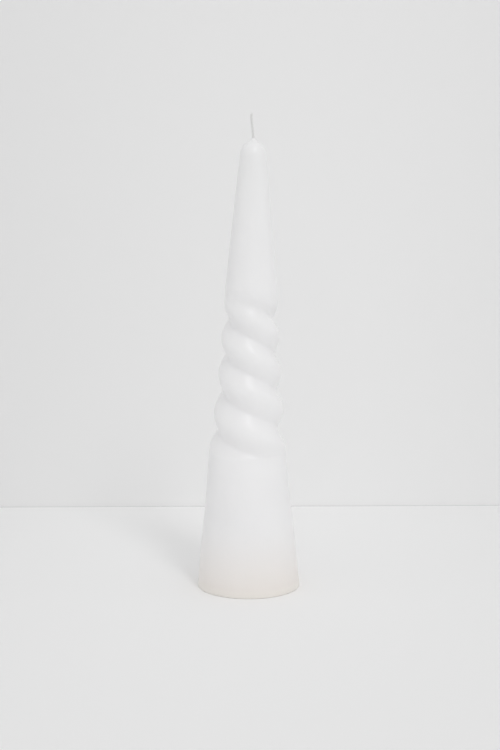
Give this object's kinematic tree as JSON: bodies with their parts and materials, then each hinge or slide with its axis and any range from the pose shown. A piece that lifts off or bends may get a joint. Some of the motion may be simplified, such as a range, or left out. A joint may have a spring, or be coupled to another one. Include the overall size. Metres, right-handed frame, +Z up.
{
  "type": "twisted candle",
  "caption": "Tall free-standing cone candle of pale wax, smooth above and below, its middle twisted into a rope of two soft strands, with a cotton wick.",
  "frame": {"origin": "the middle of the flat foot, on the surface that the candle stands on", "axes": "+Z up along the candle, towards the wick; the front of the candle faces -Y and +X is to its right as seen from the front"},
  "size_m": [0.0556, 0.0556, 0.2538],
  "materials": {
    "wax": "satin",
    "wick": "matte"
  },
  "bodies": {
    "root": {"wax_body": "wax", "wick": "wick"}
  },
  "joints": []
}
